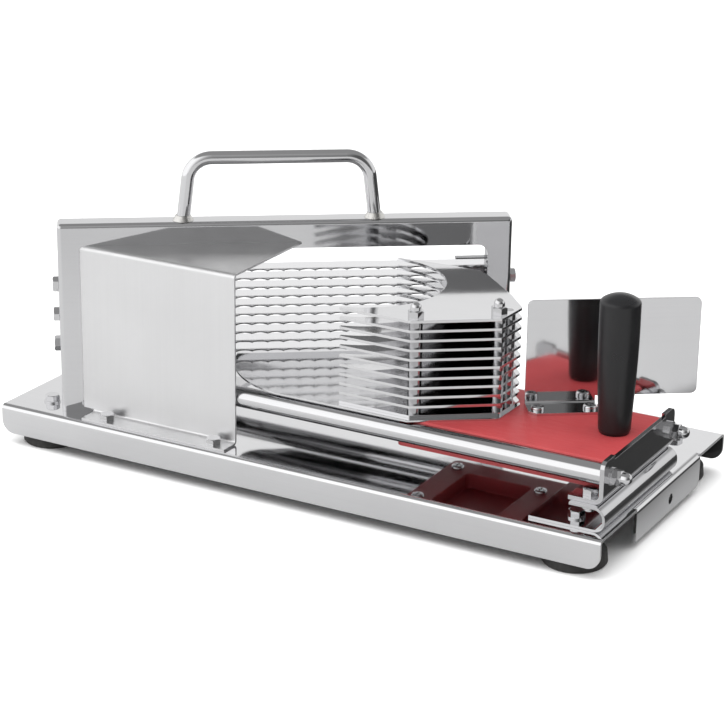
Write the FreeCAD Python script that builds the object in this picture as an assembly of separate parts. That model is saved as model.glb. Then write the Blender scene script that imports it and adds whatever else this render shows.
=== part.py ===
import FreeCAD, Part
import math
import os

# Manual tomato slicer. A diagonal frame of ten scalloped blades stands on a folded base. A carriage
# with eleven pusher plates runs on two rods and pushes the food between the blades.
# The model is built with its origin at the centre of the base's top face, X along the rods and
# Y to the rear, in millimetres, and is moved to its bottom centre when it is written.

V = FreeCAD.Vector
UP = V(0, 0, 1)
DOWN = V(0, 0, -1)

# base
BASE_LENGTH = 390.0
BASE_WIDTH = 180.0
BASE_FLANGE = 17.3
BASE_SHEET = 1.5
BASE_BEND = 2.25
FLANGE_CORNER = 8.0
END_TAB_Y = (-41.0, 52.0)
END_TAB_DEPTH = 19.5
END_TAB_CORNER = 5.0
END_TAB_HOLE = V(0, 8.2, -11.9)
END_TAB_HOLE_RADIUS = 3.0
FOOT_X = 172.0
FOOT_Y = 70.0
FOOT_BOTTOM = -24.0
FOOT_RADIUS = 18.0
FOOT_TOP_RADIUS = 14.0

# guide rods and their brackets
ROD_RADIUS = 6.0
ROD_Z = 27.2
ROD_Y = (-66.0, 12.7)
ROD_RUN = (-125.5, 187.5)
RISER_HEIGHT = 14.3
RISER_SHEET = 1.5
RISER_REACH = 44.0
RISER_TOP_REACH = 21.0
BRACKET_SHEET = 2.5
BRACKET_FOOT = 20.0
RIGHT_BRACKET = {"x": 190.0, "side": 1, "y": (-78.0, 20.0), "riser_y": (-81.2, 20.0), "top": 38.6}
LEFT_BRACKET = {"x": -128.0, "side": -1, "y": (-72.0, 20.0), "riser_y": (-72.0, 20.0), "top": 33.2}
BRACKET_EAR = 14.0
BRACKET_EAR_STEP = 2.0
BRACKET_EAR_CORNER = 4.5

# blade frame, in its own axes: x along the frame, y to its rear, z up
FRAME_CORNER = V(-156.7, -81.2, 0)
FRAME_ANGLE = 35.0
FRAME_LENGTH = 267.0
FRAME_HEIGHT = 115.3
FRAME_DEPTH = 13.5
FRAME_SHEET = 1.5
FRAME_BEND = 2.6
WINDOW_X = (18.5, 252.5)
WINDOW_TOP = 98.9
WINDOW_CORNER = 6.0
HOLDER_Z = (36.6, 96.0)
LUG_REACH = 18.0
LUG_Y = (6.5, 11.5)
LUG_Z = (70.0, 89.0)
HOLDER_BOLT_Z = (40.8, 59.0, 77.4)

# blades and plates share one pitch, half a pitch apart
PITCH = 5.5
BLADE_COUNT = 10
BLADE_SHEET = 0.8
BLADE_Y = (-9.0, 6.0)
BLADE_X = (19.6, 251.6)
TANG_Y = 1.9
TANG_REACH = 7.4
SCALLOP_COUNT = 25
SCALLOP_DEPTH = 2.3
BLADE_CLIP_Y = -2.5

# carry handle on the frame
CARRY_FOOT_X = (73.3, 185.65)
CARRY_LEAN = 4.5
CARRY_BAR_Z = 152.4
CARRY_RADIUS = 4.0
CARRY_BEND = 14.0

# guard in front of the blades
GUARD_SHEET = 1.2
GUARD_Y = -73.8
GUARD_X = (-146.5, -40.2)
GUARD_FOOT_X = -139.2
GUARD_TOP = 102.6
GUARD_FOOT = 12.4
GUARD_BEND = 2.1
GUARD_BOLT_X = (-125.0, -51.0)
GUARD_BOLT_Y = -80.2

# carriage
BLOCK_X = (59.0, 186.9)
BLOCK_Z = (17.9, 34.2)
BLOCK_SIDE = 1.5
BLOCK_CORNER = 4.0
BLOCK_CHAMFER = 0.9
ROD_GAP = 0.05
TRAY_SHEET = 1.0
PLATE_COUNT = 11
PLATE_SHEET = 1.5
BITE_CENTRE = V(9.5, -16.0, 0)
BITE_RADIUS = 48.5
STUD_POINTS = [V(67.0, -58.7, 0), V(103.0, -29.0, 0), V(104.5, -19.5, 0)]
STUD_SINK = 2.6
STUD_END = 5.5
SPACER_RADIUS = 3.8

# hand guard, in the axes of its own sheet
HAND_GUARD_CORNER = V(112.3, -11.6, 0)
HAND_GUARD_LENGTH = 98.0
HAND_GUARD_Z = (39.2, 96.2)
HAND_GUARD_CORNER_RADIUS = 3.5
HAND_GUARD_SHEET = 1.5
HAND_GUARD_FOOT = (40.0, 17.0)
HAND_GUARD_SCREW_X = (5.5, 35.0)

# push handle
GRIP_POINT = V(171.5, -22.5, 0)
GRIP_HEIGHT = 79.3
GRIP_SEAT = 4.6
GRIP_FOOT_RADIUS = 8.9
GRIP_TOP_RADIUS = 11.2

# fasteners
M5 = {"radius": 2.5, "flats": 8.0, "head": 3.5, "nut": 4.0, "washer": 5.0, "hole": 2.7}
THREAD_FIT = 0.02
WASHER_SHEET = 1.0
ACORN_HEIGHT = 10.0
STACK_ACORN_HEIGHT = 9.2
ACORN_HEX = 4.6
ACORN_DOME = 3.5
STACK_ACORN_DOME = 3.1

parts = {}


def box(x, y, z):
    """A block between the low and high values of each axis."""
    return Part.makeBox(x[1] - x[0], y[1] - y[0], z[1] - z[0], V(x[0], y[0], z[0]))


def rod(radius, start, end):
    """A round bar from start to end."""
    axis = end - start
    return Part.makeCylinder(radius, axis.Length, start, axis)


def place(shape, position, direction, spin=0.0):
    """Turn a shape made along +Z to a direction, and move it to a position."""
    turned = shape.copy()
    turned.rotate(V(0, 0, 0), UP, spin)
    turned.Placement = FreeCAD.Placement(position, FreeCAD.Rotation(UP, direction)).multiply(turned.Placement)
    return turned


def slab(edges, bottom, thickness):
    """A flat sheet from a closed run of edges in the XY plane."""
    face = Part.Face(Part.Wire(edges))
    face.translate(V(0, 0, bottom))
    return face.extrude(V(0, 0, thickness))


def line(a, b):
    return Part.LineSegment(a, b).toShape()


def arc(a, middle, b):
    return Part.Arc(a, middle, b).toShape()


def polygon(points):
    closed = points + points[:1]
    return [line(a, b) for a, b in zip(closed, closed[1:])]


def bent_sheet(points, thickness, bend, width):
    """A sheet bent along a path of its middle line, extruded by the vector width."""
    across = width.normalize() if width.Length == 1 else V(width) / width.Length
    runs = [(b - a).normalize() for a, b in zip(points, points[1:])]
    normals = [across.cross(run) for run in runs]
    half = thickness / 2
    sides = []
    for sign in (1, -1):
        edges = []
        start = points[0] + normals[0] * (sign * half)
        for index in range(1, len(points) - 1):
            before, after = runs[index - 1], runs[index]
            inward = after - before
            turn = before.getAngle(after)
            cut = bend * math.tan(turn / 2)
            centre = points[index] + inward.normalize() * (bend / math.cos(turn / 2))
            enter = points[index] - before * cut + normals[index - 1] * (sign * half)
            leave = points[index] + after * cut + normals[index] * (sign * half)
            outward = points[index] - centre
            middle = centre + outward.normalize() * (enter - centre).Length
            edges += [line(start, enter), arc(enter, middle, leave)]
            start = leave
        end = points[-1] + normals[-1] * (sign * half)
        edges.append(line(start, end))
        sides.append((edges, points[0] + normals[0] * (sign * half), end))
    (left, left_start, left_end), (right, right_start, right_end) = sides
    wire = Part.Wire(Part.__sortEdges__(left + [line(left_end, right_end)] + right
                                        + [line(right_start, left_start)]))
    return Part.Face(wire).extrude(width)


def round_vertical(shape, points, radius):
    """Fillet the upright edges that pass through the given XY points."""
    chosen = []
    for edge in shape.Edges:
        ends = [vertex.Point for vertex in edge.Vertexes]
        if len(ends) < 2 or abs(ends[0].z - ends[1].z) < 0.1:
            continue
        for point in points:
            if all(math.hypot(end.x - point.x, end.y - point.y) < 0.01 for end in ends):
                chosen.append(edge)
    return shape.makeFillet(radius, chosen)


def ring(outer, inner, height):
    return Part.makeCylinder(outer, height).cut(Part.makeCylinder(inner, height))


def hexagon(flats, height):
    """A hexagonal prism with its outer end's corners turned off, flats facing Y."""
    corner = flats / math.sqrt(3)
    points = [V(corner * math.cos(math.radians(60 * k)), corner * math.sin(math.radians(60 * k)), 0)
              for k in range(6)]
    prism = slab(polygon(points), 0, height)
    turned = corner - flats / 2
    blank = Part.makeCylinder(corner + 0.01, height - turned)
    blank = blank.fuse(Part.makeCone(corner + 0.01, flats / 2 - 0.2, turned, V(0, 0, height - turned)))
    return prism.common(blank)


def hex_bolt(position, direction, length, spin=0.0):
    """A bolt with its head's underside at position, its head out along direction."""
    bolt = hexagon(M5["flats"], M5["head"]).fuse(rod(M5["radius"], V(0, 0, 0.5), V(0, 0, -length)))
    return place(bolt.removeSplitter(), position, direction, spin)


def hex_nut(position, direction, spin=0.0):
    nut = hexagon(M5["flats"], M5["nut"])
    nut = nut.cut(rod(M5["radius"] + THREAD_FIT, V(0, 0, -1), V(0, 0, M5["nut"] + 1)))
    return place(nut, position, direction, spin)


def washer(position, direction):
    return place(ring(M5["washer"], M5["hole"], WASHER_SHEET), position, direction)


def acorn_nut(position, direction, spin, height=ACORN_HEIGHT, dome=ACORN_DOME):
    """A domed nut with a blind bore."""
    neck = height - dome
    nut = hexagon(M5["flats"], min(ACORN_HEX, neck)).fuse(rod(dome, V(0, 0, 0), V(0, 0, neck)))
    nut = nut.fuse(Part.makeSphere(dome, V(0, 0, neck)))
    nut = nut.cut(rod(M5["radius"] + THREAD_FIT, V(0, 0, -1), V(0, 0, neck)))
    return place(nut.removeSplitter(), position, direction, spin)


def pan_screw(position, direction, length, radius=2.0):
    """A pan-head screw with a cross recess, head out along direction."""
    head_radius = radius * 1.9
    head_height = radius * 1.2
    head = Part.makeCylinder(head_radius, head_height)
    head = head.makeFillet(head_height * 0.6, [edge for edge in head.Edges
                                               if edge.BoundBox.ZMin > head_height - 0.01])
    screw = head.fuse(rod(radius, V(0, 0, 0.5), V(0, 0, -length)))
    slot = radius * 0.25
    for wide, deep in ((head_radius * 0.6, slot), (slot, head_radius * 0.6)):
        screw = screw.cut(box((-wide, wide), (-deep, deep), (head_height * 0.45, head_height + 1)))
    return place(screw, position, direction)


def on_frame(shape):
    """Move a shape from the blade frame's own axes to the base's."""
    moved = shape.copy()
    moved.rotate(V(0, 0, 0), UP, FRAME_ANGLE)
    moved.translate(FRAME_CORNER)
    return moved


def frame_point(x, y, z):
    """A point of the blade frame's own axes, in the base's axes."""
    turn = FreeCAD.Rotation(UP, FRAME_ANGLE)
    return FRAME_CORNER + turn.multVec(V(x, y, z))


def frame_direction(x, y):
    return FreeCAD.Rotation(UP, FRAME_ANGLE).multVec(V(x, y, 0))


def drill(shape, points, direction, radius=M5["hole"], reach=8.0):
    """Cut round holes through a shape, reach each way from each point."""
    for point in points:
        shape = shape.cut(rod(radius, point - direction * reach, point + direction * reach))
    return shape


def foot_points():
    return [V(x, y, 0) for x in (-FOOT_X, FOOT_X) for y in (-FOOT_Y, FOOT_Y)]


def riser_bolt_points():
    """Bolts between the risers and the base; the right riser's front one is a foot's bolt."""
    return [V(165.0, 6.0, 0), V(-104.0, -60.0, 0), V(-104.0, 8.0, 0)]


def guard_bolt_points():
    return [V(x, GUARD_BOLT_Y, 0) for x in GUARD_BOLT_X]


def frame_bolt_points():
    """Bolts in the frame's two bottom tabs."""
    return [frame_point(x, 8.0, 0) for x in (12.0, 259.0)]


def make_base():
    """The base is one folded sheet, made as its flat, its two long flanges and its end tab."""
    end = BASE_LENGTH / 2
    side = BASE_WIDTH / 2
    half = BASE_SHEET / 2
    low = -BASE_FLANGE
    bend = BASE_BEND + half
    flat_y = side - bend
    flat = box((-end, end), (-flat_y, flat_y), (-BASE_SHEET, 0))
    flat = flat.cut(box((end - bend, end + 1), END_TAB_Y, (-5, 5)))
    flanges = []
    for sign in (-1, 1):
        path = [V(-end, sign * (flat_y - 5), -half), V(-end, sign * (side - half), -half),
                V(-end, sign * (side - half), low)]
        flange = bent_sheet(path, BASE_SHEET, BASE_BEND, V(BASE_LENGTH, 0, 0))
        flange = flange.cut(box((-end - 1, end + 1), (-flat_y, flat_y), (-5, 5)))
        for x, inward in ((-end, 1), (end, -1)):
            corner = box(sorted((x, x + inward * FLANGE_CORNER)), (-100, 100), (low, low + FLANGE_CORNER))
            centre = V(x + inward * FLANGE_CORNER, -100, low + FLANGE_CORNER)
            flange = flange.cut(corner.cut(rod(FLANGE_CORNER, centre, centre + V(0, 200, 0))))
        flanges.append(flange)
    path = [V(end - 8, END_TAB_Y[0], -half), V(end - half, END_TAB_Y[0], -half),
            V(end - half, END_TAB_Y[0], -END_TAB_DEPTH)]
    tab = bent_sheet(path, BASE_SHEET, BASE_BEND, V(0, END_TAB_Y[1] - END_TAB_Y[0], 0))
    tab = tab.cut(box((end - 10, end - bend), (-100, 100), (-5, 5)))
    corner_y = END_TAB_Y[1] - END_TAB_CORNER
    corner_z = -END_TAB_DEPTH + END_TAB_CORNER
    clip = box((end - 5, end + 1), (corner_y, END_TAB_Y[1]), (-END_TAB_DEPTH, corner_z))
    tab = tab.cut(clip.cut(rod(END_TAB_CORNER, V(end - 5, corner_y, corner_z), V(end + 1, corner_y, corner_z))))
    tab = drill(tab, [V(end, 0, 0) + END_TAB_HOLE], V(1, 0, 0), END_TAB_HOLE_RADIUS)
    holes = foot_points() + riser_bolt_points() + guard_bolt_points() + frame_bolt_points()
    parts["base_pan"] = Part.makeCompound([drill(flat, holes, UP, reach=3.0), tab] + flanges)


def make_feet():
    height = -BASE_SHEET - FOOT_BOTTOM
    rim = 7.5
    insert_top = height - 1.5
    profile = [V(0, 0, 1.5), V(12.5, 0, 1.5), V(13.5, 0, 0), V(FOOT_RADIUS - 1, 0, 0), V(FOOT_RADIUS, 0, 1.2),
               V(FOOT_RADIUS - 0.6, 0, rim), V(FOOT_TOP_RADIUS, 0, rim + 3.5), V(FOOT_TOP_RADIUS, 0, height),
               V(0, 0, height)]
    foot = Part.Face(Part.Wire(polygon(profile))).revolve(V(0, 0, 0), UP, 360)
    pocket = hexagon(M5["flats"], insert_top + 1)
    pocket.translate(V(0, 0, insert_top - M5["nut"]))
    shaft = rod(M5["hole"], V(0, 0, insert_top - M5["nut"] - 4), V(0, 0, height + 1))
    seat = pocket.common(box((-9, 9), (-9, 9), (0, insert_top)))
    foot = foot.cut(seat).cut(shaft)
    feet = []
    nuts = []
    bolts = []
    washers = []
    for point in foot_points():
        bottom = point + V(0, 0, FOOT_BOTTOM)
        feet.append(place(foot, bottom, UP))
        nuts.append(hex_nut(bottom + V(0, 0, insert_top - M5["nut"]), UP))
        on_riser = point.x > 0 and point.y < 0
        seat_z = V(0, 0, RISER_SHEET if on_riser else 0)
        washers.append(washer(point + seat_z, UP))
        bolts.append(hex_bolt(point + seat_z + V(0, 0, WASHER_SHEET), UP, 10.5, 12))
    parts["rubber_feet"] = Part.makeCompound(feet)
    parts["foot_nuts"] = Part.makeCompound(nuts)
    parts["foot_bolts"] = Part.makeCompound(bolts)
    parts["foot_washers"] = Part.makeCompound(washers)


def bracket_bolt_points(bracket):
    x = bracket["x"] - bracket["side"] * 10.5
    return [V(x, y, RISER_HEIGHT) for y in (bracket["y"][0] + 7.2, 15.8)]


def make_bracket(name, bracket):
    """A C-shaped riser on the base, and the L-shaped plate on it that holds the rods' ends."""
    side = bracket["side"]
    outer = bracket["x"] + side * 3.0
    low, high = bracket["riser_y"]
    half = RISER_SHEET / 2
    path = [V(outer - side * RISER_REACH, low, half), V(outer - side * half, low, half),
            V(outer - side * half, low, RISER_HEIGHT - half),
            V(outer - side * RISER_TOP_REACH, low, RISER_HEIGHT - half)]
    riser = bent_sheet(path, RISER_SHEET, 5.9, V(0, high - low, 0))
    riser = drill(riser, bracket_bolt_points(bracket), UP)
    riser = drill(riser, foot_points() + riser_bolt_points(), UP, reach=3.0)
    parts[name + "_riser"] = riser

    low, high = bracket["y"]
    half = BRACKET_SHEET / 2
    foot_z = RISER_HEIGHT + half
    ears_x = (bracket["x"] - 3, bracket["x"] + 3)
    path = [V(bracket["x"] - side * BRACKET_FOOT, low, foot_z), V(bracket["x"] - side * half, low, foot_z),
            V(bracket["x"] - side * half, low, bracket["top"])]
    plate = bent_sheet(path, BRACKET_SHEET, 4.0, V(0, high - low, 0))
    waist = box(ears_x, (low + BRACKET_EAR, high - BRACKET_EAR), (bracket["top"] - BRACKET_EAR_STEP, 50))
    plate = plate.cut(waist)
    corners = [edge for edge in plate.Edges if edge.BoundBox.XLength > 1 and edge.BoundBox.YLength < 0.01
               and edge.BoundBox.ZMin > bracket["top"] - 0.01
               and (edge.BoundBox.YMin < low + 0.01 or edge.BoundBox.YMax > high - 0.01)]
    plate = plate.makeFillet(BRACKET_EAR_CORNER, corners)
    rods = [V(bracket["x"], y, ROD_Z) for y in ROD_Y]
    plate = drill(plate, rods, V(1, 0, 0))
    parts[name + "_rod_bracket"] = drill(plate, bracket_bolt_points(bracket), UP)


def make_bracket_fasteners():
    bolts = []
    nuts = []
    for bracket in (RIGHT_BRACKET, LEFT_BRACKET):
        for point in bracket_bolt_points(bracket):
            bolts.append(hex_bolt(point + V(0, 0, BRACKET_SHEET), UP, 9.5))
            nuts.append(hex_nut(point - V(0, 0, RISER_SHEET), DOWN))
    parts["bracket_bolts"] = Part.makeCompound(bolts)
    parts["bracket_nuts"] = Part.makeCompound(nuts)
    bolts = [hex_bolt(point + V(0, 0, RISER_SHEET), UP, 9.0) for point in riser_bolt_points()]
    bolts += [hex_bolt(point + V(0, 0, GUARD_SHEET), UP, 9.0) for point in guard_bolt_points()]
    bolts += [hex_bolt(point + V(0, 0, FRAME_SHEET), UP, 9.0, FRAME_ANGLE) for point in frame_bolt_points()]
    parts["riser_bolts"] = Part.makeCompound(bolts[:3])
    parts["guard_bolts"] = Part.makeCompound(bolts[3:5])
    parts["frame_bolts"] = Part.makeCompound(bolts[5:])
    below = riser_bolt_points() + guard_bolt_points() + frame_bolt_points()
    nuts = [hex_nut(V(point.x, point.y, -BASE_SHEET), DOWN) for point in below]
    parts["base_nuts"] = Part.makeCompound(nuts)


def make_rods():
    washers = []
    nuts = []
    left = V(LEFT_BRACKET["x"], 0, 0)
    right = V(RIGHT_BRACKET["x"], 0, 0)
    thread = WASHER_SHEET * 2 + 5.0
    for name, y in zip(("front", "rear"), ROD_Y):
        axis = V(0, y, ROD_Z)
        bar = rod(ROD_RADIUS, axis + V(ROD_RUN[0], 0, 0), axis + V(ROD_RUN[1], 0, 0))
        ends = [edge for edge in bar.Edges if isinstance(edge.Curve, Part.Circle)]
        bar = bar.makeChamfer(0.6, ends)
        bar = bar.fuse(rod(M5["radius"], axis + left - V(thread, 0, 0), axis + right + V(thread, 0, 0)))
        parts[name + "_guide_rod"] = bar.removeSplitter()
        for foot, direction in ((left, V(-1, 0, 0)), (right, V(1, 0, 0))):
            count = 2 if name == "rear" and foot is right else 1
            for index in range(count):
                washers.append(washer(axis + foot + direction * (WASHER_SHEET * index), direction))
            nuts.append(acorn_nut(axis + foot + direction * (WASHER_SHEET * count), direction, 17))
    parts["rod_washers"] = Part.makeCompound(washers)
    parts["rod_acorn_nuts"] = Part.makeCompound(nuts)


def blade_heights():
    lowest = BLOCK_Z[1] + TRAY_SHEET + PLATE_SHEET / 2 + PITCH / 2
    return [lowest + PITCH * index for index in range(BLADE_COUNT)]


def make_frame():
    inner = FRAME_SHEET
    shell = box((0, FRAME_LENGTH), (0, FRAME_DEPTH), (0, FRAME_HEIGHT))
    outline = [edge for edge in shell.Edges
               if edge.BoundBox.YMax < 0.01 and edge.BoundBox.ZMax > 1.0]
    crowns = [edge for edge in shell.Edges if edge.BoundBox.YLength > 1 and edge.BoundBox.ZMin > 1.0]
    shell = shell.makeFillet(FRAME_BEND, outline + crowns)
    room = box((inner, FRAME_LENGTH - inner), (inner, FRAME_DEPTH + 20), (-20, FRAME_HEIGHT - inner))
    outline = [edge for edge in room.Edges if edge.BoundBox.YMax < inner + 0.01 and edge.BoundBox.ZMax > 1.0]
    crowns = [edge for edge in room.Edges if edge.BoundBox.YLength > 1 and edge.BoundBox.ZMin > 1.0]
    shell = shell.cut(room.makeFillet(FRAME_BEND - inner, outline + crowns))
    window = box(WINDOW_X, (-5, 5), (-20, WINDOW_TOP))
    window = window.makeFillet(WINDOW_CORNER, [edge for edge in window.Edges
                                               if edge.BoundBox.YLength > 1 and edge.BoundBox.ZMin > 1.0])
    shell = shell.cut(window)
    for x in ((inner, WINDOW_X[0] - 1), (WINDOW_X[1] + 1, FRAME_LENGTH - inner)):
        shell = shell.fuse(box(x, (inner, FRAME_DEPTH), (0, inner)))
    for z in HOLDER_BOLT_Z:
        shell = shell.cut(rod(M5["hole"], V(-5, 7, z), V(5, 7, z)))
        shell = shell.cut(rod(M5["hole"], V(FRAME_LENGTH - 5, 7, z), V(FRAME_LENGTH + 5, 7, z)))
    frame = on_frame(shell.removeSplitter())
    parts["blade_frame"] = drill(frame, frame_bolt_points(), UP, reach=5.0)


def make_holders():
    """The bars inside the frame's legs that grip the blades' ends, and the bolts that hold them."""
    runs = {"left": (FRAME_SHEET, WINDOW_X[0]), "right": (WINDOW_X[1], FRAME_LENGTH - FRAME_SHEET)}
    slots = []
    for z in blade_heights():
        height = (z - BLADE_SHEET / 2 - THREAD_FIT, z + BLADE_SHEET / 2 + THREAD_FIT)
        reach = (BLADE_X[0] - TANG_REACH - 0.2, BLADE_X[1] + TANG_REACH + 0.2)
        slots.append(box(reach, (0, BLADE_Y[1] + THREAD_FIT), height))
    bolts = []
    for name, run in runs.items():
        bar = box(run, (FRAME_SHEET, FRAME_DEPTH - 1.5), HOLDER_Z)
        outer = run[0] if name == "left" else run[1]
        toward = V(-1, 0, 0) if name == "left" else V(1, 0, 0)
        corner = [edge for edge in bar.Edges if edge.BoundBox.ZLength > 9
                  and abs(edge.BoundBox.XMin - outer) < 0.01 and edge.BoundBox.YMax < FRAME_SHEET + 0.01]
        bar = bar.makeFillet(1.3, corner)
        for slot in slots:
            bar = bar.cut(slot)
        lug_x = (run[1], run[1] + LUG_REACH) if name == "left" else (run[0] - LUG_REACH, run[0])
        bar = bar.fuse(box(lug_x, LUG_Y, LUG_Z)).removeSplitter()
        face = 0.0 if name == "left" else FRAME_LENGTH
        for z in HOLDER_BOLT_Z:
            bar = bar.cut(rod(M5["radius"] + THREAD_FIT, V(face, 7, z), V(face, 7, z) - toward * 7.4))
            head = frame_point(face, 7, z)
            bolts.append(hex_bolt(head, frame_direction(toward.x, 0), 7.0, 20 * HOLDER_BOLT_Z.index(z)))
        parts[name + "_blade_holder"] = on_frame(bar)
    parts["holder_bolts"] = Part.makeCompound(bolts)


def make_blades():
    """Thin scalloped blades with a narrow tang at each end and a corner clipped behind the guard."""
    start, end = BLADE_X
    front, back = BLADE_Y
    step = (end - start) / SCALLOP_COUNT
    edges = []
    for index in range(1, SCALLOP_COUNT):
        x = start + step * index
        edges.append(arc(V(x, front, 0), V(x + step / 2, front + SCALLOP_DEPTH, 0), V(x + step, front, 0)))
    tail = [V(end, front, 0), V(end, TANG_Y, 0), V(end + TANG_REACH, TANG_Y, 0),
            V(end + TANG_REACH, back, 0), V(start - TANG_REACH, back, 0), V(start - TANG_REACH, TANG_Y, 0),
            V(start, TANG_Y, 0), V(start, BLADE_CLIP_Y, 0), V(start + step, front, 0)]
    edges += [line(a, b) for a, b in zip(tail, tail[1:])]
    for index, z in enumerate(blade_heights(), 1):
        blade = slab(edges, z - BLADE_SHEET / 2, BLADE_SHEET)
        parts["blade_%02d" % index] = on_frame(blade)


def make_carry_handle():
    """A round bar bent into a bow, welded on the frame's top."""
    middle = FRAME_DEPTH / 2
    low = FRAME_HEIGHT
    slope = CARRY_LEAN / (CARRY_BAR_Z - low)
    left, right = CARRY_FOOT_X
    corners = [V(left - slope * 3, middle, low - 3), V(left + CARRY_LEAN, middle, CARRY_BAR_Z),
               V(right - CARRY_LEAN, middle, CARRY_BAR_Z), V(right + slope * 3, middle, low - 3)]
    edges = []
    start = corners[0]
    for index in (1, 2):
        before = (corners[index] - corners[index - 1]).normalize()
        after = (corners[index + 1] - corners[index]).normalize()
        turn = before.getAngle(after)
        cut = CARRY_BEND * math.tan(turn / 2)
        enter = corners[index] - before * cut
        leave = corners[index] + after * cut
        centre = corners[index] + (after - before).normalize() * (CARRY_BEND / math.cos(turn / 2))
        crown = centre + (corners[index] - centre).normalize() * CARRY_BEND
        edges += [line(start, enter), arc(enter, crown, leave)]
        start = leave
    edges.append(line(start, corners[3]))
    path = Part.Wire(edges)
    section = Part.Wire(Part.makeCircle(CARRY_RADIUS, corners[0], corners[1] - corners[0]))
    bow = path.makePipeShell([section], True, True)
    trim = box((-50, 350), (-20, 40), (low - 10, low))
    bow = bow.cut(trim)
    if bow.Volume < 0:
        bow.reverse()
    parts["carry_handle"] = on_frame(bow.Solids[0])
    beads = []
    for x, lean in ((left, slope), (right, -slope)):
        bead = Part.makeCone(CARRY_RADIUS + 2.2, CARRY_RADIUS + 0.5, 3.2, V(x, middle, low))
        core = rod(CARRY_RADIUS + THREAD_FIT, V(x - lean * 5, middle, low - 5), V(x + lean * 10, middle, low + 10))
        beads.append(on_frame(bead.cut(core)))
    parts["handle_welds"] = Part.makeCompound(beads)


def make_guard():
    """A bent sheet: upright face, triangular top flange to the frame, and a foot on the base."""
    half = GUARD_SHEET / 2
    left, right = GUARD_X
    y = GUARD_Y + half
    reach = 75.0
    path = [V(left, GUARD_Y - GUARD_FOOT, half), V(left, y, half), V(left, y, GUARD_TOP - half),
            V(left, y + reach, GUARD_TOP - half)]
    guard = bent_sheet(path, GUARD_SHEET, GUARD_BEND, V(right - left, 0, 0))
    behind = on_frame(box((-100, 400), (0, 200), (-10, 200)))
    beside = box((left - 1, GUARD_FOOT_X), (GUARD_Y - 50, GUARD_Y - 0.01), (-1, 50))
    low = box((left - 1, GUARD_FOOT_X), (GUARD_Y - 50, GUARD_Y + 50), (-1, GUARD_BEND + half))
    guard = guard.cut(behind).cut(beside).cut(low)
    parts["guard"] = drill(guard, guard_bolt_points(), UP, reach=6.0)


def make_block():
    """The plastic slide block, with a groove for each rod and recesses in its underside."""
    low_y = ROD_Y[0] + BLOCK_SIDE
    high_y = ROD_Y[1] - BLOCK_SIDE
    block = box(BLOCK_X, (low_y, high_y), BLOCK_Z)
    corners = [V(x, y, 0) for x in BLOCK_X for y in (low_y, high_y)]
    block = round_vertical(block, corners, BLOCK_CORNER)
    top = [edge for edge in block.Edges if edge.BoundBox.ZMin > BLOCK_Z[1] - 0.01]
    block = block.makeChamfer(BLOCK_CHAMFER, top)
    for y in ROD_Y:
        groove = rod(ROD_RADIUS + ROD_GAP, V(BLOCK_X[0] - 5, y, ROD_Z), V(BLOCK_X[1] + 5, y, ROD_Z))
        block = block.cut(groove)
    for x in ((74.0, 116.0), (130.0, 178.0)):
        recess = box(x, (-50.0, -3.5), (BLOCK_Z[0] - 1, BLOCK_Z[0] + 9.0))
        recess = recess.makeFillet(3.0, [edge for edge in recess.Edges if edge.BoundBox.ZLength > 5])
        block = block.cut(recess)
    boss = Part.makeCylinder(10.0, 6.0, V(GRIP_POINT.x, GRIP_POINT.y, BLOCK_Z[0] + GRIP_SEAT))
    block = block.fuse(boss).removeSplitter()
    block = block.cut(rod(3.1, V(GRIP_POINT.x, GRIP_POINT.y, 0), V(GRIP_POINT.x, GRIP_POINT.y, 60)))
    for point in tray_screw_points():
        block = block.cut(rod(2.1, point, point + V(0, 0, 60)))
    for point in STUD_POINTS:
        sink = point + V(0, 0, BLOCK_Z[1] - STUD_SINK)
        block = block.cut(rod(M5["radius"] + THREAD_FIT, sink, sink + V(0, 0, 60)))
    for point in hand_guard_screw_points():
        block = block.cut(rod(2.0 + THREAD_FIT, point + V(0, 0, BLOCK_Z[1] - 6.3), point + V(0, 0, 60)))
    parts["slide_block"] = block


def tray_screw_points():
    return [V(66.0, -50.0, 0), V(66.0, 0.0, 0), V(123.0, -8.5, 0)]


def bite_point(angle):
    """A point of the bite's circle; the angle is in degrees from +X."""
    turn = math.radians(angle)
    return BITE_CENTRE + V(BITE_RADIUS * math.cos(turn), BITE_RADIUS * math.sin(turn), 0)


def make_plates():
    """The pusher plates, alike, with a horn each side of the round bite."""
    corners = [V(22.5, -64.5, 0), V(67.2, -65.0, 0), V(108.2, -35.3, 0), V(109.2, -12.1, 0),
               V(94.4, 4.8, 0), V(66.5, 31.0, 0), V(58.9, 35.8, 0), V(41.2, 36.7, 0), V(6.2, 34.2, 0)]
    front_horn = bite_point(-74.5)
    rear_horn = bite_point(94.0)
    edges = [line(a, b) for a, b in zip(corners, corners[1:])]
    edges.append(line(corners[-1], rear_horn))
    edges.append(arc(rear_horn, bite_point(8.0), front_horn))
    edges.append(line(front_horn, corners[0]))
    bottom = BLOCK_Z[1] + TRAY_SHEET
    plate = slab(edges, bottom, PLATE_SHEET)
    plate = round_vertical(plate, corners[1:8], 2.0)
    for point in STUD_POINTS:
        plate = plate.cut(rod(M5["radius"] + THREAD_FIT, point, point + V(0, 0, 200)))
    for index in range(PLATE_COUNT):
        copy = plate.copy()
        copy.translate(V(0, 0, PITCH * index))
        parts["pusher_plate_%02d" % (index + 1)] = copy


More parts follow.
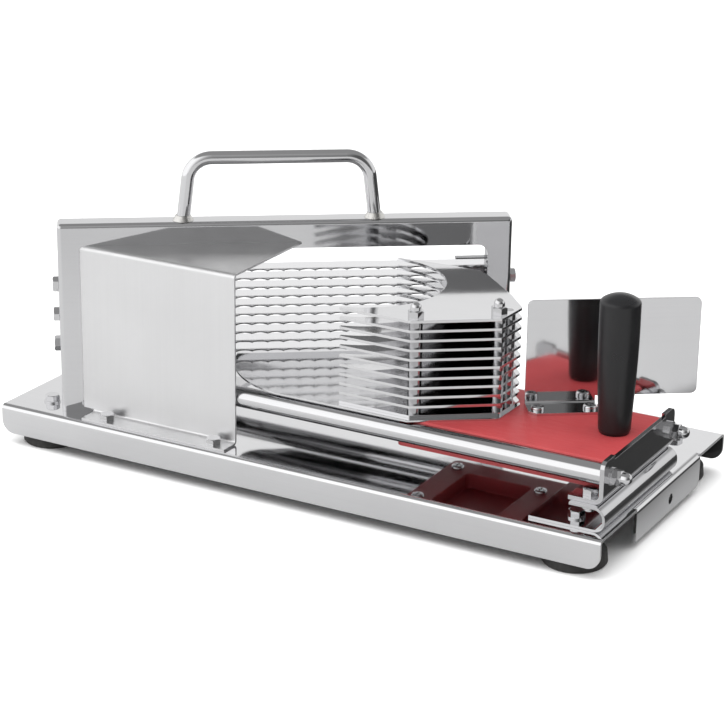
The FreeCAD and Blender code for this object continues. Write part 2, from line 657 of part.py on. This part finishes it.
def make_tray():
    """The food tray: it carries the plates and reaches under the blades with a rounded end."""
    corners = [V(-17.5, -68.8, 0), V(68.0, -68.8, 0), V(110.0, -40.0, 0), V(110.6, -13.6, 0),
               V(95.6, 6.2, 0), V(68.0, 33.0, 0), V(59.5, 37.6, 0), V(42.0, 38.8, 0),
               V(-20.0, 38.0, 0), V(-67.6, 1.2, 0)]
    side = V(-70.5, -22.3, 0)
    edges = [line(a, b) for a, b in zip(corners, corners[1:])]
    edges.append(arc(corners[-1], V(-74.5, -9.5, 0), side))
    edges.append(arc(side, V(-51.0, -52.4, 0), corners[0]))
    tray = slab(edges, BLOCK_Z[1], TRAY_SHEET)
    tray = round_vertical(tray, corners[1:9], 2.5)
    for point in STUD_POINTS:
        tray = tray.cut(rod(M5["radius"] + THREAD_FIT, point, point + V(0, 0, 200)))
    for point in tray_screw_points()[:2]:
        tray = tray.cut(rod(2.0 + THREAD_FIT, point, point + V(0, 0, 200)))
    parts["food_tray"] = tray


def make_studs():
    """Studs from the block through the plates, spacers between the plates, domed nuts on top.

    The rear stud ends flush with the top plate and has no nut.
    """
    stack = BLOCK_Z[1] + TRAY_SHEET
    top = stack + PITCH * (PLATE_COUNT - 1) + PLATE_SHEET
    rear = STUD_POINTS[-1]
    studs = []
    spacers = []
    nuts = []
    spacer = ring(SPACER_RADIUS, M5["radius"] + THREAD_FIT, PITCH - PLATE_SHEET)
    for point in STUD_POINTS:
        end = top if point is rear else top + STUD_END
        studs.append(rod(M5["radius"], point + V(0, 0, BLOCK_Z[1] - STUD_SINK), point + V(0, 0, end)))
        for index in range(PLATE_COUNT - 1):
            spacers.append(place(spacer, point + V(0, 0, stack + PLATE_SHEET + PITCH * index), UP))
        if point is not rear:
            seat = point + V(0, 0, top)
            nuts.append(acorn_nut(seat, UP, 10, STACK_ACORN_HEIGHT, STACK_ACORN_DOME))
    parts["pusher_studs"] = Part.makeCompound(studs)
    parts["plate_spacers"] = Part.makeCompound(spacers)
    parts["plate_acorn_nuts"] = Part.makeCompound(nuts)


def hand_guard_point(x, y, z=0.0):
    turn = FreeCAD.Rotation(UP, FRAME_ANGLE)
    return HAND_GUARD_CORNER + turn.multVec(V(x, y, z))


def hand_guard_screw_points():
    return [hand_guard_point(x, -10.5) for x in HAND_GUARD_SCREW_X]


def make_hand_guard():
    """An upright plate that keeps the hand from the blades, with a foot folded forward."""
    half = HAND_GUARD_SHEET / 2
    foot_width, foot_depth = HAND_GUARD_FOOT
    low, high = HAND_GUARD_Z
    bottom = BLOCK_Z[1]
    plate = box((0, HAND_GUARD_LENGTH), (0, HAND_GUARD_SHEET), (low, high))
    rounded = [edge for edge in plate.Edges if edge.BoundBox.YLength > 1
               and (edge.BoundBox.ZMin > low + 1 or edge.BoundBox.XMin > 1)]
    plate = plate.makeFillet(HAND_GUARD_CORNER_RADIUS, rounded)
    path = [V(0, -foot_depth, bottom + half), V(0, half, bottom + half), V(0, half, low + 10)]
    foot = bent_sheet(path, HAND_GUARD_SHEET, 2.0, V(foot_width, 0, 0))
    guard = plate.fuse(foot).removeSplitter()
    clip = slab(polygon([V(-1, -foot_depth - 1, 0), V(5, -foot_depth - 1, 0), V(-1, -foot_depth + 5, 0)]), 30, 8)
    guard = guard.cut(clip)
    for x in HAND_GUARD_SCREW_X:
        guard = guard.cut(rod(2.2, V(x, -10.5, 30), V(x, -10.5, 38)))
    guard.rotate(V(0, 0, 0), UP, FRAME_ANGLE)
    guard.translate(HAND_GUARD_CORNER)
    parts["hand_guard"] = guard
    seat = V(0, 0, bottom + HAND_GUARD_SHEET)
    screws = [pan_screw(point + seat, UP, 7.6) for point in hand_guard_screw_points()]
    parts["hand_guard_screws"] = Part.makeCompound(screws)
    ends = (BLOCK_Z[1] + 0.8, BLOCK_Z[1] + 0.8, BLOCK_Z[1] - 2)
    screws = [pan_screw(V(point.x, point.y, BLOCK_Z[0]), DOWN, end - BLOCK_Z[0])
              for point, end in zip(tray_screw_points(), ends)]
    parts["tray_screws"] = Part.makeCompound(screws)


def make_push_handle():
    """A tapered grip with a domed top, on a bolt through the block."""
    height = GRIP_HEIGHT
    foot, top = GRIP_FOOT_RADIUS, GRIP_TOP_RADIUS
    dome = 3.6
    waist = V(foot + 0.1, 0, 2.0)
    shoulder = V(top, 0, height * 0.74)
    curve = Part.BezierCurve()
    curve.setPoles([waist, V(foot + 0.9, 0, height * 0.25), V(top - 0.15, 0, height * 0.45), shoulder])
    rim = V(top, 0, height - dome - 2.0)
    soft = V(top - 1.8, 0, height - dome + 0.8)
    crown = V(0, 0, height)
    crown_radius = (soft.x ** 2 + (height - soft.z) ** 2) / (2 * (height - soft.z))
    half_turn = math.asin(soft.x / crown_radius) / 2
    brow = V(crown_radius * math.sin(half_turn), 0, height - crown_radius * (1 - math.cos(half_turn)))
    edges = [line(V(0, 0, 0), V(foot - 0.8, 0, 0)), line(V(foot - 0.8, 0, 0), waist), curve.toShape(),
             line(shoulder, rim), arc(rim, V(top - 0.5, 0, height - dome - 0.3), soft),
             arc(soft, brow, crown), line(crown, V(0, 0, 0))]
    grip = Part.Face(Part.Wire(edges)).revolve(V(0, 0, 0), UP, 360)
    grip = grip.cut(rod(3.0 + THREAD_FIT, V(0, 0, -1), V(0, 0, 30)))
    grip.translate(GRIP_POINT + V(0, 0, BLOCK_Z[1]))
    parts["push_handle"] = grip
    seat = V(GRIP_POINT.x, GRIP_POINT.y, BLOCK_Z[0] + GRIP_SEAT)
    head = place(hexagon(10.0, 4.0), seat, DOWN)
    bolt = head.fuse(rod(3.0, seat - V(0, 0, 1), seat + V(0, 0, 38)))
    parts["handle_bolt"] = bolt.removeSplitter()


def write_parts():
    """Move the model to its bottom centre and write one file per node."""
    os.makedirs("parts", exist_ok=True)
    whole = Part.makeCompound(list(parts.values())).BoundBox
    shift = V(-(whole.XMin + whole.XMax) / 2, -(whole.YMin + whole.YMax) / 2, -whole.ZMin)
    for name, shape in parts.items():
        shape.translate(shift)
        if not shape.isValid() or shape.Volume <= 0:
            print("bad shape", name, shape.isValid(), shape.Volume)
        shape.exportStep("parts/%s.step" % name)
    print("nodes", len(parts), "shift", shift, "size", whole.XLength, whole.YLength, whole.ZLength)


make_base()
make_feet()
make_bracket("right", RIGHT_BRACKET)
make_bracket("left", LEFT_BRACKET)
make_bracket_fasteners()
make_rods()
make_frame()
make_holders()
make_blades()
make_carry_handle()
make_guard()
make_block()
make_tray()
make_plates()
make_studs()
make_hand_guard()
make_push_handle()
write_parts()
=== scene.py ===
import math

import bpy
from mathutils import Matrix, Vector

# Materials and studio for the tomato slicer. Every CAD mesh is shown as it is; this script gives each
# node a procedural material, lights the scene and places the camera. Lengths are metres in the row frame.

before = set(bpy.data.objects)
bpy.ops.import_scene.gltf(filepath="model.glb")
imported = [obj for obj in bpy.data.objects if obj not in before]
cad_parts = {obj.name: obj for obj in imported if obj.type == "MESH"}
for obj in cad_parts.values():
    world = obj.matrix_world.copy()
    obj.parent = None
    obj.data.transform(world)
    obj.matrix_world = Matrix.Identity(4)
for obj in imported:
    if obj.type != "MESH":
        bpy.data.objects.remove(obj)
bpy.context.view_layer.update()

# The camera's place, its direction and roll in degrees, and its lens and sensor in millimetres.
CAMERA = {"place": (0.616146, -1.118605, 0.521306), "azimuth": 28.905, "elevation": 19.881,
          "roll": 0.768, "lens": 114.8, "sensor": 36.0, "nearest": 0.05, "farthest": 50.0}

# The blade frame stands across the base at this angle; its front face passes through this point.
FRAME_ANGLE = math.radians(35.0)
FRAME_CORNER = Vector((-0.1602, -0.0812))
# The ground band of the blades, measured to the rear of the frame's front face.
GROUND_BAND = (-0.0062, -0.0055)

# Piece counts of the two stacks.
BLADE_COUNT = 10
PLATE_COUNT = 11

# Reflectance of the metals.
BRIGHT = (0.74, 0.74, 0.75)
DULL = (0.66, 0.66, 0.67)
GUARD_GREY = (0.77, 0.77, 0.775)
BRACKET_GREY = (0.60, 0.60, 0.61)
HOLDER_GREY = (0.34, 0.34, 0.35)
HANDLE_GREY = (0.70, 0.70, 0.71)
WELD_GREY = (0.66, 0.65, 0.63)
# Spacers and studs: a darker copy of the hardware grey, painted shade for where they stand between the
# pusher plates.
SPACER_SHADED_GREY = (0.46, 0.46, 0.47)
HARDWARE_GREY = (0.68, 0.68, 0.69)
BLADE_FLAT = (0.86, 0.86, 0.87)
BLADE_GROUND = (0.44, 0.44, 0.45)
ROD_CLEAN = (0.74, 0.74, 0.75)
ROD_WORN = (0.62, 0.62, 0.63)

# Colours of the plastics and the rubber.
RED_DARK = (0.34, 0.044, 0.048)
RED_LIGHT = (0.41, 0.056, 0.060)
# Pale red painted on the block's edges: a painted highlight where the chamfers catch the light.
RED_EDGE_HIGHLIGHT = (0.72, 0.2, 0.2)
RED_SCATTER = (1.0, 0.3, 0.2)
GRIP_DARK = (0.008, 0.008, 0.009)
GRIP_LIGHT = (0.015, 0.015, 0.016)
RUBBER_CLEAN = (0.013, 0.013, 0.013)
RUBBER_DUSTY = (0.05, 0.048, 0.045)
DUST_TOP = 0.012

# Grain: noise cells per metre along each axis. Where one number is small, the grain runs that way.
GRAIN_X = (6, 700, 700)
GRAIN_Y = (700, 6, 700)
GRAIN_GUARD = (900, 900, 8)
GRAIN_HOLDER = (500, 500, 8)
GRAIN_PLATE = (8, 600, 600)
GRAIN_HANDLE = (60, 60, 60)
GRAIN_WELD = (600, 600, 600)
GRAIN_FINE = (300, 300, 300)
GRIND_CELLS = (2600, 90, 400)
ROD_RINGS = (3000, 60, 60)
ROD_WEAR = (8, 900, 900)
PLANED_CELLS = (120, 1400, 1400)
PLATE_GRAIN_TURN = 0.3

# Noise cells per metre of the clouding and the handling marks, and how far the marks change the gloss.
CLOUD_CELLS = 14.0
MARK_CELLS = 55.0
MARK_GLOSS = (0.85, 1.3)
MARK_MIDDLE = (0.35, 0.65)
CLOUD_SHARE = 0.7
CLOUD_TINT = (0.95, 1.03)

# Radius of the shaded edge on sheets, plates, small parts and the block.
SHEET_EDGE = 0.0003
PLATE_EDGE = 0.0002
SMALL_EDGE = 0.00015
BLOCK_EDGE = 0.0008

# The middle of a noise texture's values, which is all that shows.
NOISE_MIDDLE = (0.3, 0.7)

# Brightness of the surround by direction, from left (0) to right (1): in front, and at the rear.
SURROUND = ((0.0, 1.3), (0.3, 1.4), (0.5, 1.2), (0.7, 0.5), (0.88, 0.12), (1.0, 0.15))
REAR_SKY = ((0.0, 0.85), (0.21, 0.92), (0.29, 0.95), (0.5, 1.0), (1.0, 0.9))
REAR_FROM = (-0.1, 0.4)
# The ceiling is darker; it starts lower at the rear than in front.
CEILING = 0.34
CEILING_TILT = 0.25
CEILING_FROM = (0.60, 0.74)

# Soft suns: name, direction, strength and width in degrees.
SUNS = (("key", (0.25, 0.35, -1.0), 2.15, 60), ("fill", (-0.2, -0.35, -1.0), 2.15, 80))

# The white floor, and the floor that polished metal reflects. The second is darker to the right,
# and darkest behind the object's right end.
FLOOR_REACH = 8.0
FLOOR_LIFT = 0.0004
PAPER_DARK = (0.93, 0.93, 0.93)
PAPER_LIGHT = (0.95, 0.95, 0.95)
FLOOR_GREY = {"left": 0.50, "right": 0.43, "rear": 0.02}
FLOOR_FADE_X = (-0.12, 0.08)
FLOOR_DARK_FROM = (0.196, -0.08)
FLOOR_DARK_SOFT = 0.022

SMALL_HARDWARE = ("foot_nuts", "foot_bolts", "foot_washers", "bracket_bolts", "bracket_nuts", "riser_bolts",
                  "guard_bolts", "frame_bolts", "base_nuts", "rod_washers", "rod_acorn_nuts", "holder_bolts",
                  "plate_acorn_nuts", "hand_guard_screws", "tray_screws", "handle_bolt")
BRACKETS = ("right_riser", "left_riser", "right_rod_bracket", "left_rod_bracket")


class Nodes:
    """A new node material and short ways to fill it."""

    def __init__(self, name):
        self.material = bpy.data.materials.new(name)
        self.material.use_nodes = True
        self.tree = self.material.node_tree
        self.shader = self.tree.nodes["Principled BSDF"]

    def node(self, kind, **settings):
        made = self.tree.nodes.new(kind)
        for key, value in settings.items():
            setattr(made, key, value)
        return made

    def link(self, source, target):
        self.tree.links.new(source, target)

    def drive(self, name, source):
        """Link a value to one of the shader's sockets."""
        self.link(source, self.shader.inputs[name])

    def set(self, **values):
        """Constants on the shader's own sockets."""
        for key, value in values.items():
            self.shader.inputs[key.replace("_", " ")].default_value = value

    def position(self):
        """X, Y and Z of the surface in the object's own axes."""
        coordinates = self.node("ShaderNodeTexCoord")
        split = self.node("ShaderNodeSeparateXYZ")
        self.link(coordinates.outputs["Object"], split.inputs["Vector"])
        return split.outputs

    def place(self, scale=(1, 1, 1), turn=0.0):
        """Object coordinates, turned about Z and scaled."""
        coordinates = self.node("ShaderNodeTexCoord")
        mapping = self.node("ShaderNodeMapping", vector_type="TEXTURE")
        mapping.inputs["Rotation"].default_value = (0, 0, turn)
        mapping.inputs["Scale"].default_value = tuple(1.0 / value for value in scale)
        self.link(coordinates.outputs["Object"], mapping.inputs["Vector"])
        return mapping.outputs["Vector"]

    def noise(self, vector, scale, detail=3.0, roughness=0.55):
        made = self.node("ShaderNodeTexNoise")
        made.inputs["Scale"].default_value = scale
        made.inputs["Detail"].default_value = detail
        made.inputs["Roughness"].default_value = roughness
        self.link(vector, made.inputs["Vector"])
        return made.outputs["Fac"]

    def span(self, value, low, high, start=0.0, end=1.0):
        """Spread a value that runs from start to end over low to high."""
        made = self.node("ShaderNodeMapRange")
        for key, number in (("From Min", start), ("From Max", end), ("To Min", low), ("To Max", high)):
            made.inputs[key].default_value = number
        self.link(value, made.inputs["Value"])
        return made.outputs["Result"]

    def middle(self, value, low, high):
        """Spread the middle of a noise value over low to high."""
        return self.span(value, low, high, *NOISE_MIDDLE)

    def math(self, operation, first, second):
        made = self.node("ShaderNodeMath", operation=operation)
        for socket, value in zip(made.inputs, (first, second)):
            if isinstance(value, (int, float)):
                socket.default_value = value
            else:
                self.link(value, socket)
        return made.outputs["Value"]

    def blend(self, fac, first, second):
        """A colour from first to second."""
        ramp = self.node("ShaderNodeValToRGB")
        ramp.color_ramp.elements[0].color = (*first, 1)
        ramp.color_ramp.elements[1].color = (*second, 1)
        self.link(fac, ramp.inputs["Fac"])
        return ramp.outputs["Color"]

    def bump(self, height, distance, normal=None):
        made = self.node("ShaderNodeBump")
        made.inputs["Distance"].default_value = distance
        made.inputs["Strength"].default_value = 1.0
        self.link(height, made.inputs["Height"])
        if normal is not None:
            self.link(normal, made.inputs["Normal"])
        return made.outputs["Normal"]

    def soft_edges(self, radius):
        made = self.node("ShaderNodeBevel", samples=4)
        made.inputs["Radius"].default_value = radius
        return made.outputs["Normal"]


def tint(color, factor):
    return tuple(channel * factor for channel in color)


def steel(name, color, roughness, spread, grain, turn=0.0, grain_depth=0.0, edge=SHEET_EDGE):
    """Stainless sheet: a fine directional grain, faint clouding, and handling marks in its gloss."""
    made = Nodes(name)
    made.set(Metallic=1.0)
    lines = made.noise(made.place(grain, turn), 1.0, 4.0, 0.6)
    cloud = made.noise(made.place(), CLOUD_CELLS)
    marks = made.noise(made.place(), MARK_CELLS, 5.0, 0.7)
    least, most = (roughness * factor for factor in MARK_GLOSS)
    made.drive("Roughness", made.math("ADD", made.middle(lines, -spread, spread),
                                      made.span(marks, least, most, *MARK_MIDDLE)))
    mixed = made.math("ADD", made.math("MULTIPLY", cloud, CLOUD_SHARE),
                      made.math("MULTIPLY", lines, 1.0 - CLOUD_SHARE))
    dark, light = (tint(color, factor) for factor in CLOUD_TINT)
    made.drive("Base Color", made.blend(made.middle(mixed, 0, 1), dark, light))
    normal = made.soft_edges(edge)
    if grain_depth:
        normal = made.bump(lines, grain_depth, normal)
    made.drive("Normal", normal)
    return made.material


def blade_steel():
    """Thin blades: polished flats, and a ground band along the scalloped cutting edge."""
    made = Nodes("blade_steel")
    made.set(Metallic=1.0)
    sine, cosine = math.sin(FRAME_ANGLE), math.cos(FRAME_ANGLE)
    position = made.position()
    rearward = made.math("ADD", made.math("MULTIPLY", position["X"], -sine),
                         made.math("MULTIPLY", position["Y"], cosine))
    offset = made.math("SUBTRACT", rearward, FRAME_CORNER.y * cosine - FRAME_CORNER.x * sine)
    ground = made.span(offset, 1.0, 0.0, *GROUND_BAND)
    grind = made.noise(made.place(GRIND_CELLS, FRAME_ANGLE), 1.0)
    shade = made.math("MULTIPLY", ground, made.middle(grind, 0.6, 1.0))
    made.drive("Base Color", made.blend(shade, BLADE_FLAT, BLADE_GROUND))
    made.drive("Roughness", made.math("ADD", made.middle(grind, 0.10, 0.18),
                                      made.math("MULTIPLY", ground, 0.18)))
    made.drive("Normal", made.bump(grind, 0.00002))
    return made.material


def rod_steel():
    """Ground round bar: fine rings round its axis and faint wear lines along it."""
    made = Nodes("rod_steel")
    made.set(Metallic=1.0)
    rings = made.noise(made.place(ROD_RINGS), 1.0, 2.0)
    wear = made.noise(made.place(ROD_WEAR), 1.0, 4.0)
    made.drive("Roughness", made.math("ADD", made.middle(rings, 0.06, 0.12),
                                      made.span(wear, 0.0, 0.06, 0.45, 0.75)))
    made.drive("Base Color", made.blend(wear, ROD_CLEAN, ROD_WORN))
    made.drive("Normal", made.bump(rings, 0.000006))
    return made.material


def red_plastic():
    """Solid polyethylene: a waxy skin with a fine planed grain, edges painted pale as a painted highlight,
    and tiny pits.
    """
    made = Nodes("red_plastic")
    made.set(Subsurface_Weight=0.06, Subsurface_Scale=0.002, Subsurface_Radius=RED_SCATTER,
             IOR=1.45, Specular_IOR_Level=0.4)
    planed = made.noise(made.place(PLANED_CELLS), 1.0)
    cloud = made.noise(made.place(), 26.0, 4.0)
    pits = made.noise(made.place(), 900.0, 2.0)
    rounded = made.soft_edges(BLOCK_EDGE)
    flat = made.node("ShaderNodeNewGeometry")
    agreement = made.node("ShaderNodeVectorMath", operation="DOT_PRODUCT")
    made.link(rounded, agreement.inputs[0])
    made.link(flat.outputs["True Normal"], agreement.inputs[1])
    # Where the rounded normal turns away from the flat one, the colour goes pale: a painted highlight along
    # the edges.
    edge_highlight = made.span(agreement.outputs["Value"], 1.0, 0.0, 0.8, 0.995)
    edge_highlight_mix = made.node("ShaderNodeMix", data_type="RGBA")
    made.link(made.math("MULTIPLY", edge_highlight, 0.45), edge_highlight_mix.inputs["Factor"])
    made.link(made.blend(made.middle(cloud, 0, 1), RED_DARK, RED_LIGHT), edge_highlight_mix.inputs["A"])
    edge_highlight_mix.inputs["B"].default_value = (*RED_EDGE_HIGHLIGHT, 1)
    made.drive("Base Color", edge_highlight_mix.outputs["Result"])
    made.drive("Roughness", made.middle(planed, 0.36, 0.5))
    rough = made.math("ADD", planed, made.math("MULTIPLY", pits, 0.6))
    made.drive("Normal", made.bump(rough, 0.00007, rounded))
    return made.material


def black_plastic():
    """Moulded grip: near black, with a fine spark-eroded skin and cloudy gloss."""
    made = Nodes("black_plastic")
    made.set(IOR=1.5, Specular_IOR_Level=0.4)
    skin = made.noise(made.place(), 2200.0, 2.0)
    cloud = made.noise(made.place(), 35.0, 4.0)
    made.drive("Base Color", made.blend(cloud, GRIP_DARK, GRIP_LIGHT))
    made.drive("Roughness", made.middle(cloud, 0.26, 0.40))
    made.drive("Normal", made.bump(skin, 0.00002))
    return made.material


def black_rubber():
    """Moulded rubber: matt, slightly dusty towards the floor."""
    made = Nodes("black_rubber")
    made.set(IOR=1.45)
    skin = made.noise(made.place(), 1200.0)
    low = made.span(made.position()["Z"], 1.0, 0.0, 0.0, DUST_TOP)
    dust = made.math("MULTIPLY", low, made.noise(made.place(), 300.0, 4.0))
    made.drive("Base Color", made.blend(dust, RUBBER_CLEAN, RUBBER_DUSTY))
    made.drive("Roughness", made.middle(skin, 0.55, 0.75))
    made.drive("Normal", made.bump(skin, 0.00006))
    return made.material


def paint(nodes, material):
    """Give every named node this material alone."""
    for name in nodes:
        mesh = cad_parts[name].data
        mesh.materials.clear()
        mesh.materials.append(material)


def stack(name, count):
    """Names of a stack's pieces, numbered from 01."""
    return ["%s_%02d" % (name, index + 1) for index in range(count)]


def paint_sheets():
    paint(("base_pan",), steel("base_steel", BRIGHT, roughness=0.05, spread=0.012, grain=GRAIN_X))
    paint(("blade_frame",),
          steel("frame_steel", DULL, roughness=0.065, spread=0.012, grain=GRAIN_X, turn=FRAME_ANGLE))
    paint(("hand_guard",),
          steel("hand_guard_steel", BRIGHT, roughness=0.07, spread=0.012, grain=GRAIN_X, turn=FRAME_ANGLE))
    paint(BRACKETS, steel("bracket_steel", BRACKET_GREY, roughness=0.10, spread=0.02, grain=GRAIN_Y))
    paint(("food_tray",), steel("tray_steel", BRIGHT, roughness=0.07, spread=0.012, grain=GRAIN_X))
    paint(stack("pusher_plate", PLATE_COUNT),
          steel("plate_steel", BRIGHT, roughness=0.07, spread=0.012, grain=GRAIN_PLATE,
                turn=PLATE_GRAIN_TURN, edge=PLATE_EDGE))
    paint(("guard",), steel("guard_steel", GUARD_GREY, roughness=0.36, spread=0.03, grain=GRAIN_GUARD,
                            grain_depth=0.000006))


def paint_hardware():
    paint(("left_blade_holder", "right_blade_holder"),
          steel("bar_steel", HOLDER_GREY, roughness=0.22, spread=0.03, grain=GRAIN_HOLDER))
    paint(("carry_handle",),
          steel("handle_steel", HANDLE_GREY, roughness=0.07, spread=0.015, grain=GRAIN_HANDLE))
    paint(("handle_welds",), steel("weld_steel", WELD_GREY, roughness=0.25, spread=0.05, grain=GRAIN_WELD,
                                   grain_depth=0.00015))
    # The spacers and studs between the plates get the darker grey: painted shade.
    paint(("plate_spacers", "pusher_studs"),
          steel("spacer_shaded_steel", SPACER_SHADED_GREY, roughness=0.10, spread=0.03, grain=GRAIN_FINE, edge=SMALL_EDGE))
    paint(SMALL_HARDWARE, steel("hardware_steel", HARDWARE_GREY, roughness=0.10, spread=0.03,
                                grain=GRAIN_FINE, edge=SMALL_EDGE))
    paint(stack("blade", BLADE_COUNT), blade_steel())
    paint(("front_guide_rod", "rear_guide_rod"), rod_steel())


def paint_mouldings():
    paint(("slide_block",), red_plastic())
    paint(("push_handle",), black_plastic())
    paint(("rubber_feet",), black_rubber())


def camera_axes(azimuth, elevation, roll):
    """The camera's right, up and backward directions; azimuth 0 looks along +Y."""
    right = Vector((math.cos(azimuth), math.sin(azimuth), 0))
    ahead = Vector((-math.sin(azimuth) * math.cos(elevation), math.cos(azimuth) * math.cos(elevation),
                    -math.sin(elevation)))
    up = right.cross(ahead)
    turned_right = right * math.cos(roll) + up * math.sin(roll)
    turned_up = up * math.cos(roll) - right * math.sin(roll)
    return Matrix((turned_right, turned_up, -ahead)).transposed()


def add_camera():
    data = bpy.data.cameras.new("camera")
    data.lens = CAMERA["lens"]
    data.sensor_width = CAMERA["sensor"]
    data.clip_start = CAMERA["nearest"]
    data.clip_end = CAMERA["farthest"]
    camera = bpy.data.objects.new("camera", data)
    axes = camera_axes(*(math.radians(CAMERA[key]) for key in ("azimuth", "elevation", "roll")))
    camera.matrix_world = Matrix.Translation(CAMERA["place"]) @ axes.to_4x4()
    bpy.context.scene.collection.objects.link(camera)
    bpy.context.scene.camera = camera


def add_sun(name, direction, strength, spread):
    """A soft distant light, left out of mirror reflections; spread is its width in degrees."""
    data = bpy.data.lights.new(name, "SUN")
    data.energy = strength
    data.angle = math.radians(spread)
    lamp = bpy.data.objects.new(name, data)
    lamp.visible_glossy = False
    lamp.rotation_mode = "QUATERNION"
    lamp.rotation_quaternion = Vector(direction).to_track_quat("-Z", "Y")
    bpy.context.scene.collection.objects.link(lamp)


def add_plane(name, height, material):
    """A level square of floor that stays with the scene, not with the object."""
    reach = FLOOR_REACH
    corners = [(-reach, -reach), (reach, -reach), (reach, reach), (-reach, reach)]
    mesh = bpy.data.meshes.new(name)
    mesh.from_pydata([(x, y, height) for x, y in corners], [], [(0, 1, 2, 3)])
    plane = bpy.data.objects.new(name, mesh)
    bpy.context.scene.collection.objects.link(plane)
    plane.data.materials.append(material)
    return plane


def floor_paper():
    """White paper with a faint unevenness."""
    paper = Nodes("floor_paper")
    paper.drive("Base Color", paper.blend(paper.noise(paper.place(), 3.0, 2.0), PAPER_DARK, PAPER_LIGHT))
    paper.set(Roughness=0.9)
    return paper.material


def grey_card():
    """Matt grey that darkens to the right, and is nearly black behind the object's right end."""
    card = Nodes("grey_card")
    position = card.position()
    start_x, start_y = FLOOR_DARK_FROM
    beside = card.span(position["X"], 0.0, 1.0, start_x, start_x + FLOOR_DARK_SOFT)
    behind = card.span(position["Y"], 0.0, 1.0, start_y, start_y + FLOOR_DARK_SOFT)
    along = card.span(position["X"], FLOOR_GREY["left"], FLOOR_GREY["right"], *FLOOR_FADE_X)
    dark = card.math("MULTIPLY", card.math("MULTIPLY", beside, behind),
                     1.0 - FLOOR_GREY["rear"] / FLOOR_GREY["right"])
    level = card.math("MULTIPLY", along, card.math("SUBTRACT", 1.0, dark))
    card.drive("Base Color", card.blend(level, (0, 0, 0), (1, 1, 1)))
    card.set(Roughness=1.0)
    return card.material


def add_floor():
    """A white floor that is seen directly, and the greyer one that the polished metal sees."""
    white = add_plane("floor", 0.0, floor_paper())
    white.visible_glossy = False
    grey = add_plane("floor_reflected", FLOOR_LIFT, grey_card())
    grey.visible_camera = False
    grey.visible_diffuse = False
    grey.visible_shadow = False


class Surround:
    """A world whose brightness depends only on direction."""

    def __init__(self, name):
        self.world = bpy.data.worlds.new(name)
        self.world.use_nodes = True
        self.tree = self.world.node_tree
        coordinates = self.tree.nodes.new("ShaderNodeTexCoord")
        split = self.tree.nodes.new("ShaderNodeSeparateXYZ")
        self.link(coordinates.outputs["Generated"], split.inputs["Vector"])
        self.direction = split.outputs

    def link(self, source, target):
        self.tree.links.new(source, target)

    def rise(self, value, low, high):
        """A smooth step from 0 at low to 1 at high."""
        made = self.tree.nodes.new("ShaderNodeMapRange")
        made.interpolation_type = "SMOOTHSTEP"
        made.inputs["From Min"].default_value = low
        made.inputs["From Max"].default_value = high
        self.link(value, made.inputs["Value"])
        return made.outputs["Result"]

    def sideways(self, stops):
        """Brightness from left to right, by stops of (position, level)."""
        shift = self.tree.nodes.new("ShaderNodeMapRange")
        shift.inputs["From Min"].default_value = -1.0
        self.link(self.direction["X"], shift.inputs["Value"])
        ramp = self.tree.nodes.new("ShaderNodeValToRGB")
        self.link(shift.outputs["Result"], ramp.inputs["Fac"])
        elements = ramp.color_ramp.elements
        elements[0].position, elements[1].position = stops[0][0], stops[-1][0]
        for position, _ in stops[1:-1]:
            elements.new(position)
        for element, (_, level) in zip(elements, stops):
            element.color = (level, level, level, 1)
        return ramp.outputs["Color"]

    def mixed(self, factor, first):
        """A mix that starts at first; its second colour is left for the caller."""
        made = self.tree.nodes.new("ShaderNodeMix")
        made.data_type = "RGBA"
        self.link(factor, made.inputs["Factor"])
        self.link(first, made.inputs["A"])
        return made

    def height(self):
        """How high a direction points, counted more towards the rear."""
        lean = self.tree.nodes.new("ShaderNodeMath")
        lean.operation = "MULTIPLY_ADD"
        lean.inputs[1].default_value = CEILING_TILT
        self.link(self.direction["Y"], lean.inputs[0])
        self.link(self.direction["Z"], lean.inputs[2])
        return lean.outputs["Value"]


def add_surround():
    """A soft white surround, darker to the object's right and overhead."""
    studio = Surround("studio")
    around = studio.mixed(studio.rise(studio.direction["Y"], *REAR_FROM), studio.sideways(SURROUND))
    studio.link(studio.sideways(REAR_SKY), around.inputs["B"])
    whole = studio.mixed(studio.rise(studio.height(), *CEILING_FROM), around.outputs["Result"])
    whole.inputs["B"].default_value = (CEILING, CEILING, CEILING, 1)
    background = studio.tree.nodes["Background"]
    studio.link(whole.outputs["Result"], background.inputs["Color"])
    background.inputs["Strength"].default_value = 1.0
    bpy.context.scene.world = studio.world


paint_sheets()
paint_hardware()
paint_mouldings()
add_camera()
add_floor()
add_surround()
for sun in SUNS:
    add_sun(*sun)
bpy.context.scene.view_settings.view_transform = "Standard"
